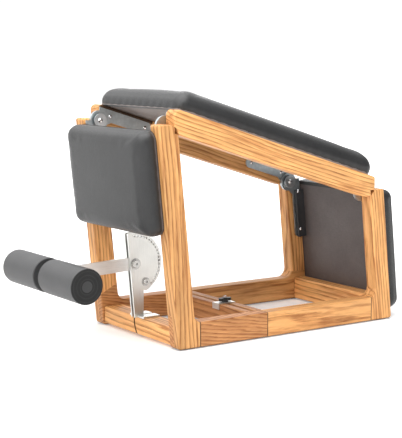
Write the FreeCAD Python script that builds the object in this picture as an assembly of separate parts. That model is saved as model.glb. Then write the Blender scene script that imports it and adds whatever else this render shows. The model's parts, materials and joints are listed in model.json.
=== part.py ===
import FreeCAD, Part
import math
import os

# Roman chair: two wooden side frames carry a sloping padded top. A padded flap hangs from
# each end of the top on a pair of ratchet hinges, and a lever with two foam rollers swings
# on a perforated steel bracket at the front.
# Drawing axes, in mm: X runs from the front (-) to the rear (+) with 0 at the front face of
# the front cross rail, Y runs from the left side (-) to the right side (+), Z = 0 under the
# wood. At the end everything moves so that the origin lies under the middle of the chair.

os.makedirs("parts", exist_ok=True)

Vector = FreeCAD.Vector
Y_AXIS = Vector(0, 1, 0)
Z_AXIS = Vector(0, 0, 1)
SIDES = {"left": -1, "right": 1}

# ---- driving dimensions: wooden frame ----
WIDTH = 420.0                     # over both side frames
SIDE_THICK = 42.0
POST_DEPTH = 56.0                 # front posts, front to back
REAR_POST_DEPTH = 50.0
POST_LEAN = 5.85                  # degrees, tops towards the front
BASE_HEIGHT = 66.0
FRONT_FOOT_X = -3.0               # front face of the front posts, at the floor
REAR_FOOT_X = 716.0               # rear face of the rear posts, at the floor
FRONT_POST_TOP = 569.0
REAR_POST_TOP = 368.5
SHOULDER_R = 27.0                 # rounded top rear corner of a front post
FRONT_FILLET_R = 22.0
REAR_FILLET_R = 26.0
EDGE_R = 4.0                      # rounding along every long wooden edge
CORNER_R = 9.0
TOE_X = {"front": 62.0, "rear": 639.0}    # ends of the posts' toes in the outer half
RAIL_JOINT_X = 276.0              # butt joint between the two lengths of a base rail
LAP_FRONT_Z = (85.0, 115.0)       # slanted lap joint in the inner half, front to rear
LAP_REAR_Z = 85.0
JOINT_GROOVE = 1.6                # eased edges along a butt joint
GLIDE_THICK = 2.0
GLIDE_SIZE = (46.0, 26.0)
GLIDE_MARGIN = 12.0               # from a post's foot to the glide

TOP_SLOPE = 17.33                 # degrees, falling to the rear
RAIL_BOTTOM_Z = 542.0             # underside of a top rail at X = 0
RAIL_DEPTH = 60.4                 # square to the slope
RAIL_FRONT_X = -15.0
RAIL_REAR_X = 646.0
RAIL_NOSE_R = 14.0
RAIL_HEEL_R = 28.0

FRONT_CROSS_DEPTH = 60.0
FRONT_CROSS_Z = (5.0, 51.0)
REAR_CROSS_X = (665.0, 707.0)
REAR_CROSS_Z = (2.0, 66.0)
KERF_LINE = ((11.0, 52.0), (8.5, 26.0), (-3.0, 4.0))    # Y and Z down the curved kerf
KERF_WIDTH = 5.0
KERF_DEPTH = 32.0
STRIP_X = {"front": (233.0, 256.0), "rear": (266.0, 289.0)}
STRIP_LIFT = 8.0
DOWEL_R = 5.0
DOWEL_LENGTH = 60.0
CROSS_DOWEL_Z = (20.0, 38.0)
BUTT_DOWEL_Z = (20.0, 46.0)
SEAT_DOWEL = {"front": (-7.0, 556.0), "rear": (630.0, 357.5)}    # X and Z where a rail is seated

# ---- driving dimensions: panels ----
HINGE_REACH = 45.0                # hinge axis to the plane that the boards lie on
END_GAP = 2.0                     # hinge axis to the end of each board, along the board
FLAP_GAP = 0.5                    # flap board to the wood it rests against
BOARD_THICK = 12.0
MAIN_PAD_THICK = 46.0
FLAP_PAD_THICK = 40.0
MAIN_WIDTH = 400.0
FLAP_WIDTH = 390.0
FRONT_FLAP_LENGTH = 268.0
REAR_FLAP_LENGTH = 350.0
PANEL_CORNER_R = 26.0
PAD_EDGE_R = 20.0
BOARD_INSET = 3.0                 # the leather wraps the board's edges
BATTEN_Y = (150.4, 159.4)
BATTEN_ALONG = (28.0, 172.0)      # down the flap, from the hinge axis
BATTEN_INNER = 18.0               # hinge axis to a batten's inner face
BATTEN_EDGE_R = 2.0
BOARD_SCREW_Y = 181.0
BOARD_SCREWS = (0.12, 0.373, 0.626, 0.879)    # along the main board
BOARD_SCREW_LENGTH = 30.0
COUNTERSINK = 3.0

# ---- driving dimensions: ratchet hinges ----
PLATE = 3.7                       # thickness of each hinge layer
LAYER_GAP = 0.3
PAWL_GAP = 0.5                    # pawl to the tips of the teeth
PAWL_ANGLES = (-58.0, 8.0, 17.0)  # degrees: middle, half the nose and half the heel
DISC_R = 27.0
COVER_R = 19.0
WHEEL_R = 13.0
WHEEL_TEETH = 18
TOOTH_DEPTH = 1.8
HINGE_PIN_R = 5.0
HINGE_RUN = 0.06                  # running clearance on radius
RAIL_ARM_LENGTH = 168.0
RAIL_ARM_BAND = (4.0, 36.0)       # across the slope, measured from the hinge axis
FLAP_ARM_LENGTH = 172.0
FLAP_ARM_BAND = (12.0, 40.0)
HINGE_SCREWS = (33.0, 148.0)
SCREW_R = 2.5
SCREW_HEAD_R = 5.0
SCREW_DOME_R = 6.25
SCREW_DOME_DROP = 3.6             # dome centre below the seat of the head
RAIL_SCREW_BITE = 25.0            # screw length in the wood

# ---- driving dimensions: bracket, lever and rollers ----
PIVOT = (-8.0, 195.0)             # lever pivot, X and Z
BRACKET_FRONT_X = -3.0            # the bracket's front edge carries on the posts' lean
BRACKET_PLATE = 5.0
BRACKET_SPACE = 9.0               # between the two bracket plates
SECTOR_R = 81.0
HOLE_RING_R = 73.0
HOLE_R = 3.0
HOLE_STEP = 7.5
HOLE_SPAN = (-60.0, 97.5)         # degrees above the rearward level line
NECK_WIDTH = 26.0
NECK_TOP = (17.0, 124.0)          # X and Z where the neck meets the sector
NECK_SAG = (2.0, -3.0)            # X and Z of the hollow below the sector
CLAMP_BOLT = (22.8, 145.0)
FOOT_LENGTH = 52.0
FOOT_WIDTH = 30.0
FOOT_SCREW_X = (12.0, 40.0)
FOOT_SCREW_OUT = 13.0             # from the plate's outer face
FOOT_SCREW_LENGTH = 40.0
FOOT_CORNER_R = 3.0
CLAMP_BOLT_R = 5.0
SPACER_R = 9.0
WASHER = (6.5, 1.6)               # how far it stands out round a bolt, and its thickness
BOLT_HEAD = (3.5, 4.4)            # the same for a button head
SOCKET = (3.4, 3.0)               # hexagon corner radius and depth
HEAD_EDGE_R = 2.0
LEVER_DROOP = 2.25                # degrees below level
LEVER_LENGTH = 243.5
LEVER_WIDTH = 34.0
LEVER_THICK = 8.0
LEVER_TAIL = 79.0
PIVOT_R = 8.0
AXLE_R = 8.0
ROLLER_R = 44.5
ROLLER_SPAN = 186.0               # half the length over both rollers
ROLLER_START = 13.0               # inner end of each roller
ROLLER_EDGE_R = 3.0
SLEEVE_R = 14.0
PLUG_THICK = 4.0
PLUG_BAY = 8.0                    # clip space between sleeve and plug
INDEX_PIN_R = 2.9
INDEX_TRAVEL = 19.6
PIN_DRAWN = 0.1                   # the pin's tip inside the index arm when drawn out
INDEX_ARM = (6.0, 13.0, 12.5)     # past the tail, past the pivot, and end radius
INDEX_ARM_THICK = 5.0
ARM_GAP = 0.5                     # bracket plate to the index arm
TURN_GAP = 0.3                    # beside parts that turn on a bolt or an axle
HOUSING = (8.0, 22.0)             # radius and length
INDEX_KNOB = (12.5, 18.0)
INDEX_KNOB_EDGE_R = 3.0
CLIP = (11.5, 1.6)                # spring clip: radius and thickness
CLIP_FROM_END = 5.0
AXLE_END_GAP = 1.0                # axle's end to the roller's plug
COLLAR_R = 15.0

# ---- driving dimensions: clamp on the middle strips ----
STRIP_CLAMP_Y = -36.0
STRIP_CLAMP_HALF_WIDTH = 16.0
STRIP_CLAMP_THICK = 2.5
STRIP_CLAMP_TONGUE = 14.0
STRIP_BOLT_R = 4.0
STRIP_BOLT_OUT = 16.0             # above the clamp plate
STRIP_FOOT = (4.0, 12.0, 5.0)     # inset, half width and thickness of the foot below
KNOB_HUB = (9.0, 12.0)
KNOB_LOBE = (7.5, 8.0, 12.0)      # radius, height and distance from the middle
KNOB_LOBE_LIFT = 3.0

# ---- worked-out lines ----
LEAN = math.radians(POST_LEAN)
SLOPE = math.radians(TOP_SLOPE)
HALF = WIDTH / 2
INNER_Y = HALF - SIDE_THICK
LAP_Y = HALF - SIDE_THICK / 2
RAIL_TOP_Z = RAIL_BOTTOM_Z + RAIL_DEPTH / math.cos(SLOPE)
PLATE_FACE = BRACKET_SPACE / 2 + BRACKET_PLATE    # outer faces of the bracket plates
FAR = 2000.0                      # longer than anything here, for cutting tools

nodes = {}


def lean_x(foot_x, z):
    """X of a leaning line that stands at foot_x on the floor."""
    return foot_x - z * math.tan(LEAN)


def rail_z(x, start_z):
    """Z of a line parallel to the top slope that passes X = 0 at start_z."""
    return start_z - x * math.tan(SLOPE)


def save(name, shape):
    """Keep one or more solids as a named node."""
    nodes[name] = Part.makeCompound(list(shape)) if isinstance(shape, (list, tuple)) else shape


def box(x0, x1, y0, y1, z0, z1):
    """Box between two corners, given in any order."""
    low = Vector(min(x0, x1), min(y0, y1), min(z0, z1))
    return Part.makeBox(abs(x1 - x0), abs(y1 - y0), abs(z1 - z0), low)


def rounded_wire(corners):
    """Closed XZ outline: straight runs joined by tangent arcs. Each corner is (x, z, radius)."""
    points = [Vector(x, 0, z) for x, z, _ in corners]
    entries = []
    for i, (_, _, radius) in enumerate(corners):
        here, before, after = points[i], points[i - 1], points[(i + 1) % len(points)]
        to_before = (before - here).normalize()
        to_after = (after - here).normalize()
        if radius == 0:
            entries.append((here, None, here))
            continue
        half_angle = to_before.getAngle(to_after) / 2
        bisector = (to_before + to_after).normalize()
        middle = here + bisector * (radius / math.sin(half_angle) - radius)
        reach = radius / math.tan(half_angle)
        entries.append((here + to_before * reach, middle, here + to_after * reach))
    edges = []
    for i, (start, middle, end) in enumerate(entries):
        if middle is not None:
            edges.append(Part.Arc(start, middle, end).toShape())
        following = entries[(i + 1) % len(entries)][0]
        if end.distanceToPoint(following) > 1e-6:
            edges.append(Part.makeLine(end, following))
    return Part.Wire(edges)


def slab(corners, y0, y1):
    """Flat piece with the given XZ outline between two Y planes."""
    low, high = min(y0, y1), max(y0, y1)
    face = Part.Face(rounded_wire(corners))
    face.translate(Vector(0, low, 0))
    return face.extrude(Vector(0, high - low, 0))


def ease_long_edges(shape, y_planes, radius):
    """Round every edge that lies in one of the given Y planes."""
    def in_plane(edge):
        limits = edge.BoundBox
        return any(abs(limits.YMin - y) < 1e-3 and abs(limits.YMax - y) < 1e-3 for y in y_planes)
    return shape.makeFillet(radius, [edge for edge in shape.Edges if in_plane(edge)])


def round_edges_along(shape, direction, radius):
    """Round every straight edge that runs along the given direction."""
    chosen = []
    for edge in shape.Edges:
        if edge.Curve.TypeId == "Part::GeomLine" and abs(edge.Curve.Direction.dot(direction)) > 0.999:
            chosen.append(edge)
    return shape.makeFillet(radius, chosen)


def cylinder_y(x, z, radius, y0, y1):
    """Cylinder whose axis runs along Y."""
    return Part.makeCylinder(radius, abs(y1 - y0), Vector(x, min(y0, y1), z), Y_AXIS)


def cut_all(shape, tools):
    """Cut a list of tools out of a shape."""
    for tool in tools:
        shape = shape.cut(tool)
    return shape


# ---- hinge axes: both boards of a joint lie HINGE_REACH from them ----
def hinge_axis(post_x, post_sign):
    """Point at HINGE_REACH inside the plane of the posts and below the plane of the top."""
    post_normal = Vector(math.cos(LEAN), 0, math.sin(LEAN))
    top_normal = Vector(math.sin(SLOPE), 0, math.cos(SLOPE))
    post_level = post_normal.x * post_x - post_sign * HINGE_REACH
    top_level = top_normal.z * RAIL_TOP_Z - HINGE_REACH
    span = post_normal.x * top_normal.z - post_normal.z * top_normal.x
    x = (post_level * top_normal.z - post_normal.z * top_level) / span
    z = (post_normal.x * top_level - top_normal.x * post_level) / span
    return Vector(x, 0, z)


FRONT_HINGE = hinge_axis(FRONT_FOOT_X, -1)
REAR_HINGE = hinge_axis(REAR_FOOT_X, 1)
DOWN_POST = Vector(math.sin(LEAN), 0, -math.cos(LEAN))
REARWARD = Vector(math.cos(LEAN), 0, math.sin(LEAN))
DOWN_SLOPE = Vector(math.cos(SLOPE), 0, -math.sin(SLOPE))
UP_FROM_SLOPE = Vector(math.sin(SLOPE), 0, math.cos(SLOPE))


def seat(shape, origin, along, normal):
    """Copy of a shape drawn with X along and Z outwards, laid on two given directions."""
    side = normal.cross(along)
    copy = shape.copy()
    copy.Placement = FreeCAD.Placement(FreeCAD.Matrix(
        along.x, side.x, normal.x, origin.x,
        along.y, side.y, normal.y, origin.y,
        along.z, side.z, normal.z, origin.z,
        0, 0, 0, 1))
    return copy


def orient(shape, origin, along, normal):
    """Turn a shape drawn in the XZ plane onto two directions, keeping its Y values."""
    if normal.cross(along).y > 0:
        return seat(shape, origin, along, normal)
    flipped = shape.mirror(Vector(0, 0, 0), Z_AXIS)
    return seat(flipped, origin, along, normal * -1)


# ---- side frames ----
def side_outline():
    """Front post, base rail and rear post as one outline, before the joints divide it."""
    front_back = FRONT_FOOT_X + POST_DEPTH
    rear_front = REAR_FOOT_X - REAR_POST_DEPTH
    return [
        (FRONT_FOOT_X, 0, CORNER_R),
        (REAR_FOOT_X, 0, CORNER_R),
        (lean_x(REAR_FOOT_X, REAR_POST_TOP), REAR_POST_TOP, CORNER_R - 3),
        (lean_x(rear_front, REAR_POST_TOP), REAR_POST_TOP, 0),
        (lean_x(rear_front, BASE_HEIGHT), BASE_HEIGHT, REAR_FILLET_R),
        (lean_x(front_back, BASE_HEIGHT), BASE_HEIGHT, FRONT_FILLET_R),
        (lean_x(front_back, FRONT_POST_TOP), FRONT_POST_TOP, SHOULDER_R),
        (lean_x(FRONT_FOOT_X, FRONT_POST_TOP), FRONT_POST_TOP, CORNER_R - 3),
    ]


def rail_outline():
    """Top rail with a rounded nose corner and a large rounded heel."""
    return [
        (RAIL_FRONT_X, rail_z(RAIL_FRONT_X, RAIL_BOTTOM_Z), 0),
        (RAIL_REAR_X, rail_z(RAIL_REAR_X, RAIL_BOTTOM_Z), RAIL_HEEL_R),
        (RAIL_REAR_X, rail_z(RAIL_REAR_X, RAIL_TOP_Z), CORNER_R - 3),
        (RAIL_FRONT_X, rail_z(RAIL_FRONT_X, RAIL_TOP_Z), RAIL_NOSE_R),
    ]


def joint_groove(x, side):
    """Three small V cuts that ease a butt joint on the top, outer and inner faces."""
    size = JOINT_GROOVE

    upright = Part.makeBox(size, size, FAR, Vector(-size / 2, -size / 2, -1))
    upright.rotate(Vector(0, 0, 0), Z_AXIS, 45)
    level = upright.copy()
    level.rotate(Vector(0, 0, 0), Vector(1, 0, 0), -90)
    outer, inner, top = upright.copy(), upright.copy(), level
    outer.translate(Vector(x, side * HALF, 0))
    inner.translate(Vector(x, side * INNER_Y, 0))
    top.translate(Vector(x, min(side * INNER_Y, side * HALF), BASE_HEIGHT))
    return outer, inner, top


def dowel(center, direction):
    """Round dowel centred on a joint."""
    axis = Vector(*direction).normalize()
    return Part.makeCylinder(DOWEL_R, DOWEL_LENGTH, center - axis * (DOWEL_LENGTH / 2), axis)


def front_lap(inner):
    """Everything above the slanted lap line between a front post and its base rail."""
    low, high = LAP_FRONT_Z
    rise = (high - low) / POST_DEPTH
    x0, x1 = FRONT_FOOT_X - 2 * POST_DEPTH, FRONT_FOOT_X + 3 * POST_DEPTH
    start = low + (CORNER_R - FRONT_FOOT_X) * rise
    return slab([(x0, start + x0 * rise, 0), (x1, start + x1 * rise, 0), (x1, FAR, 0), (x0, FAR, 0)],
                *inner)


def make_side(name, side):
    """All wooden pieces of one side frame and the dowels inside it."""
    planes = (side * INNER_Y, side * HALF)
    blank = slab(side_outline(), *planes)
    rail_blank = slab(rail_outline(), *planes)
    rail = ease_long_edges(rail_blank, planes, EDGE_R).cut(blank)
    frame = ease_long_edges(blank, planes, EDGE_R).cut(rail_blank)

    outer = (side * LAP_Y, side * (HALF + 1))
    inner = (side * LAP_Y, side * (INNER_Y - 1))
    front_tool = box(-FAR, TOE_X["front"], *outer, -1, FAR).fuse(front_lap(inner))
    past_joint = RAIL_JOINT_X + POST_DEPTH
    rear_tool = box(TOE_X["rear"], FAR, *outer, -1, FAR).fuse([
        box(past_joint, FAR, *outer, LAP_REAR_Z, FAR),
        box(past_joint, FAR, *inner, LAP_REAR_Z, FAR)])
    grooves = list(joint_groove(RAIL_JOINT_X, side))
    grooves += [joint_groove(x, side)[0] for x in TOE_X.values()]
    rails = cut_all(frame.cut(front_tool).cut(rear_tool), grooves)
    front_post = cut_all(frame.common(front_tool), grooves)
    rear_post = cut_all(frame.common(rear_tool), grooves)
    front_rail = rails.common(box(-FAR, RAIL_JOINT_X, -FAR, FAR, -FAR, FAR))
    rear_rail = rails.common(box(RAIL_JOINT_X, FAR, -FAR, FAR, -FAR, FAR))

    dowel_y = side * LAP_Y
    seats = {end: Vector(x, dowel_y, z) for end, (x, z) in SEAT_DOWEL.items()}
    front_dowel = dowel(seats["front"], (1, 0, 1))
    rear_dowel = dowel(seats["rear"], (-1, 0, 1))
    butt_dowels = [dowel(Vector(RAIL_JOINT_X, dowel_y, z), (1, 0, 0)) for z in BUTT_DOWEL_Z]
    dowels = [front_dowel, rear_dowel] + butt_dowels

    save("top_rail_" + name, cut_all(rail, dowels))
    save("front_post_" + name, front_post.cut(front_dowel))
    save("rear_post_" + name, rear_post.cut(rear_dowel))
    save("base_rail_front_" + name, cut_all(front_rail, butt_dowels))
    save("base_rail_rear_" + name, cut_all(rear_rail, butt_dowels))
    return dowels


def kerf():
    """Curved slot in the front face of the front cross rail."""
    half = KERF_WIDTH / 2
    left, right = [[Vector(-1, y + shift, z) for y, z in KERF_LINE] for shift in (-half, half)]
    outline = Part.Wire([
        Part.Arc(*left).toShape(),
        Part.makeLine(left[2], right[2]),
        Part.Arc(*reversed(right)).toShape(),
        Part.makeLine(right[0], left[0]),
    ])
    return Part.Face(outline).extrude(Vector(KERF_DEPTH + 1, 0, 0))


def make_cross_members():
    """Cross rails between the side frames, with dowels into both sides."""
    spans = {
        "front_cross_rail": (0, FRONT_CROSS_DEPTH, *FRONT_CROSS_Z),
        "rear_cross_rail": (*REAR_CROSS_X, *REAR_CROSS_Z),
        "middle_strip_front": (*STRIP_X["front"], STRIP_LIFT, BASE_HEIGHT),
        "middle_strip_rear": (*STRIP_X["rear"], STRIP_LIFT, BASE_HEIGHT),
    }
    dowels = []
    for name, (x0, x1, z0, z1) in spans.items():
        save(name, round_edges_along(box(x0, x1, -INNER_Y, INNER_Y, z0, z1), Y_AXIS, EDGE_R))
        for side in SIDES.values():
            dowels += [dowel(Vector((x0 + x1) / 2, side * INNER_Y, z), Y_AXIS) for z in CROSS_DOWEL_Z]
    nodes["front_cross_rail"] = nodes["front_cross_rail"].cut(kerf())
    return dowels


def drill_wood(dowels):
    """Cut every cross dowel out of the pieces that it passes through."""
    for name in list(nodes):
        limits = nodes[name].BoundBox
        for peg in dowels:
            if limits.intersect(peg.BoundBox):
                nodes[name] = nodes[name].cut(peg)


def make_glides():
    """Thin felt glides under the four corners."""
    length, width = GLIDE_SIZE
    pads = []
    for side in SIDES.values():
        for x in (FRONT_FOOT_X + GLIDE_MARGIN, REAR_FOOT_X - GLIDE_MARGIN - length):
            y = side * LAP_Y
            raw = box(x, x + length, y - width / 2, y + width / 2, -GLIDE_THICK, 0)
            pads.append(round_edges_along(raw, Z_AXIS, CORNER_R))
    save("floor_glides", pads)


# ---- padded panels ----
def panel(length, width, z0, z1, corner_r, top_r, inset):
    """Rounded rectangular plate drawn from X = 0, with softened outer edges."""
    raw = box(inset, length - inset, -width / 2 + inset, width / 2 - inset, z0, z1)
    shape = round_edges_along(raw, Z_AXIS, corner_r)
    if top_r == 0:
        return shape
    rim = [edge for edge in shape.Edges
           if abs(edge.BoundBox.ZMin - z1) < 1e-3 and abs(edge.BoundBox.ZMax - z1) < 1e-3]
    return shape.makeFillet(top_r, rim)


def countersunk(top, length):
    """Upright countersunk screw whose flat head ends at the given point."""
    shank = Part.makeCylinder(SCREW_R, length, top - Z_AXIS * length, Z_AXIS)
    head = Part.makeCone(SCREW_R, SCREW_HEAD_R, COUNTERSINK, top - Z_AXIS * COUNTERSINK, Z_AXIS)
    return shank.fuse(head)


def make_top():
    """Main board on the rails and its pad, with screws down into the rails."""
    front_end = FRONT_HINGE + DOWN_SLOPE * END_GAP + UP_FROM_SLOPE * HINGE_REACH
    rear_end = REAR_HINGE - DOWN_SLOPE * END_GAP + UP_FROM_SLOPE * HINGE_REACH
    length = (rear_end - front_end).Length
    board = panel(length, MAIN_WIDTH, 0, BOARD_THICK, PANEL_CORNER_R, 0, BOARD_INSET)
    pad = panel(length, MAIN_WIDTH, BOARD_THICK, BOARD_THICK + MAIN_PAD_THICK,
                PANEL_CORNER_R, PAD_EDGE_R, 0)
    screws = [countersunk(Vector(length * share, side * BOARD_SCREW_Y, BOARD_THICK), BOARD_SCREW_LENGTH)
              for side in SIDES.values() for share in BOARD_SCREWS]
    board = cut_all(board, screws)
    placed_screws = [seat(s, front_end, DOWN_SLOPE, UP_FROM_SLOPE) for s in screws]
    for name, side in SIDES.items():
        rail = "top_rail_" + name
        own = [s for s in placed_screws if s.BoundBox.Center.y * side > 0]
        nodes[rail] = cut_all(nodes[rail], own)
    save("main_board", seat(board, front_end, DOWN_SLOPE, UP_FROM_SLOPE))
    save("main_pad", seat(pad, front_end, DOWN_SLOPE, UP_FROM_SLOPE))
    save("board_screws", placed_screws)


def hinge_arm(reach, band, y0, y1):
    """Flat hinge arm, drawn with the axis at the origin, X along the arm and Z across it."""
    low, high = band
    near = DISC_R / 2
    end_r = (high - low) / 2 - 0.5
    bar = [(near, low, 0), (reach, low, end_r), (reach, high, end_r), (near, high, 0)]
    web = [(-DISC_R * 0.2, high, 0), (near + 1, high, 0), (near + DISC_R, low, 0), (0, -DISC_R * 0.9, 0)]
    disc = cylinder_y(0, 0, DISC_R, y0, y1)
    plate = disc.fuse([slab(bar, y0, y1), slab(web, y0, y1)]).removeSplitter()
    return plate.common(box(-DISC_R, reach, y0, y1, -DISC_R, high))


def screw_set(points, y_face, direction, length):
    """Pan-head screws that stand on a Y face: shank inwards, domed head outwards."""
    screws = []
    for x, z in points:
        shank = cylinder_y(x, z, SCREW_R, y_face, y_face - direction * length)
        dome = Part.makeSphere(SCREW_DOME_R, Vector(x, y_face - direction * SCREW_DOME_DROP, z))
        half = box(-FAR, FAR, y_face, y_face + direction * FAR, -FAR, FAR)
        screws.append(shank.fuse(dome.common(half)))
    return screws


def ratchet_wheel(y0, y1):
    """Toothed wheel with pointed teeth leaning one way."""
    points = []
    pitch = 2 * math.pi / WHEEL_TEETH
    for i in range(WHEEL_TEETH):
        tip = i * pitch
        root = tip + 0.8 * pitch
        points.append((WHEEL_R * math.cos(tip), WHEEL_R * math.sin(tip), 0))
        inner = WHEEL_R - TOOTH_DEPTH
        points.append((inner * math.cos(root), inner * math.sin(root), 0))
    return slab(points, y0, y1)


def pawl_shape(y0, y1):
    """Short pawl beside the wheel, standing just clear of the teeth."""
    inner = WHEEL_R + PAWL_GAP
    outer = DISC_R - 4
    middle, half_nose, half_heel = [math.radians(angle) for angle in PAWL_ANGLES]
    points = [
        (inner * math.cos(middle - half_nose), inner * math.sin(middle - half_nose), 0),
        (inner * math.cos(middle + half_nose), inner * math.sin(middle + half_nose), 0),
        (outer * math.cos(middle + half_heel), outer * math.sin(middle + half_heel), 1.5),
        (outer * math.cos(middle - half_heel), outer * math.sin(middle - half_heel), 1.5),
    ]
    return slab(points, y0, y1)


def layer(index):
    """Inner and outer distance from the middle plane of one hinge layer, 0 next to the rail."""
    outer = INNER_Y - index * (PLATE + LAYER_GAP)
    return outer - PLATE, outer


def hinge_layer(outline, index, side, bore, holes=()):
    """One layer of a hinge between its two Y planes, bored on the axis and drilled."""
    inner, outer = layer(index)
    plate = outline(side * inner, side * outer)
    tools = [cylinder_y(x, z, SCREW_R, -FAR, FAR) for x, z in holes]
    return cut_all(plate, tools + [cylinder_y(0, 0, bore, -FAR, FAR)])


def rail_arm(y0, y1):
    """Arm that is screwed to a top rail."""
    return hinge_arm(RAIL_ARM_LENGTH, RAIL_ARM_BAND, y0, y1)


def flap_arm(y0, y1):
    """Arm that is bolted to a flap's batten."""
    return hinge_arm(FLAP_ARM_LENGTH, FLAP_ARM_BAND, y0, y1)


def cover_disc(y0, y1):
    """Round cover over the ratchet wheel."""
    return cylinder_y(0, 0, COVER_R, y0, y1)


def domed_pin(side):
    """Hinge pin through all four layers, with a domed head towards the middle."""
    face = side * layer(3)[0]
    shank = cylinder_y(0, 0, HINGE_PIN_R, side * INNER_Y, face)
    dome = Part.makeSphere(HINGE_PIN_R * 1.7, Vector(0, face + side * HINGE_PIN_R, 0))
    half = box(-FAR, FAR, face, face - side * FAR, -FAR, FAR)
    return shank.fuse(dome.common(half))


def make_hinges():
    """Four ratchet hinges: arm on the rail, arm on the flap, wheel, pawl, cover and pin."""
    rail_holes = [(x, sum(RAIL_ARM_BAND) / 2) for x in HINGE_SCREWS]
    flap_holes = [(x, sum(FLAP_ARM_BAND) / 2) for x in HINGE_SCREWS]
    wheels, covers, pins, rail_screws = [], [], [], []
    flap_bolts = {}
    places = {
        "front": (FRONT_HINGE, DOWN_SLOPE, REARWARD * -1),
        "rear": (REAR_HINGE, DOWN_SLOPE * -1, REARWARD),
    }
    for end, (axis, rail_way, flap_normal) in places.items():
        rail_arms, flap_arms, pawls, bolts = [], [], [], []
        for name, side in SIDES.items():
            def on_rail(shape):
                return orient(shape, axis, rail_way, UP_FROM_SLOPE)

            def on_flap(shape):
                return orient(shape, axis, DOWN_POST, flap_normal)

            running_bore = HINGE_PIN_R + HINGE_RUN
            rail_arms.append(on_rail(hinge_layer(rail_arm, 0, side, HINGE_PIN_R, rail_holes)))
            flap_arms.append(on_flap(hinge_layer(flap_arm, 1, side, running_bore, flap_holes)))
            wheels.append(on_rail(hinge_layer(ratchet_wheel, 2, side, HINGE_PIN_R)))
            pawls.append(on_flap(hinge_layer(pawl_shape, 2, side, HINGE_PIN_R)))
            covers.append(on_rail(hinge_layer(cover_disc, 3, side, HINGE_PIN_R)))
            pins.append(on_rail(domed_pin(side)))
            screws = screw_set(rail_holes, side * layer(0)[0], -side, PLATE + RAIL_SCREW_BITE)
            screws = [on_rail(screw) for screw in screws]
            rail_screws += screws
            nodes["top_rail_" + name] = cut_all(nodes["top_rail_" + name], screws)
            grip = layer(1)[1] - BATTEN_Y[0]
            bolts += [on_flap(b) for b in screw_set(flap_holes, side * BATTEN_Y[0], -side, grip)]
        save(end + "_rail_arms", rail_arms)
        save(end + "_flap_arms", flap_arms)
        save(end + "_pawls", pawls)
        flap_bolts[end] = bolts
    save("ratchet_wheels", wheels)
    save("hinge_covers", covers)
    save("hinge_pins", pins)
    save("hinge_rail_screws", rail_screws)
    return flap_bolts


def make_flap(label, origin, normal, length, bolts):
    """Board, pad and two hinge battens of one flap."""
    top = origin + DOWN_POST * END_GAP + normal * (HINGE_REACH + FLAP_GAP)
    board = panel(length, FLAP_WIDTH, 0, BOARD_THICK, PANEL_CORNER_R, 0, BOARD_INSET)
    pad = panel(length, FLAP_WIDTH, BOARD_THICK, BOARD_THICK + FLAP_PAD_THICK,
                PANEL_CORNER_R, PAD_EDGE_R, 0)
    save(label + "_board", orient(board, top, DOWN_POST, normal))
    save(label + "_pad", orient(pad, top, DOWN_POST, normal))
    battens = []
    for side in SIDES.values():
        y0, y1 = side * BATTEN_Y[0], side * BATTEN_Y[1]
        raw = box(*BATTEN_ALONG, y0, y1, BATTEN_INNER, HINGE_REACH + FLAP_GAP)
        raw = round_edges_along(raw, Y_AXIS, BATTEN_EDGE_R)
        battens.append(cut_all(orient(raw, origin, DOWN_POST, normal), bolts))
    save(label + "_battens", battens)
    save(label + "_bolts", bolts)


# ---- bracket, lever and rollers ----
def sector_point(degrees):
    """Point on the bracket's round edge, at an angle above the rearward level line."""
    angle = math.radians(degrees)
    return Vector(PIVOT[0] + SECTOR_R * math.cos(angle), 0, PIVOT[1] + SECTOR_R * math.sin(angle))


def bracket_outline():
    """Neck with a half-disc sector behind the leaning front edge."""
    start_x = lean_x(BRACKET_FRONT_X, BASE_HEIGHT)
    foot_z = FRONT_CROSS_Z[1]
    top = sector_point(HOLE_SPAN[1])
    top.x = lean_x(BRACKET_FRONT_X, top.z)
    low = sector_point(HOLE_SPAN[0])
    neck = Vector(NECK_TOP[0], 0, NECK_TOP[1])
    heel = Vector(start_x + NECK_WIDTH, 0, foot_z)
    toe = Vector(start_x, 0, foot_z)
    sag = (low + neck) * 0.5 + Vector(NECK_SAG[0], 0, NECK_SAG[1])
    return Part.Face(Part.Wire([
        Part.makeLine(toe, top),
        Part.Arc(top, sector_point(sum(HOLE_SPAN) / 2), low).toShape(),
        Part.Arc(low, sag, neck).toShape(),
        Part.makeLine(neck, heel),
        Part.makeLine(heel, toe),
    ]))


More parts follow.
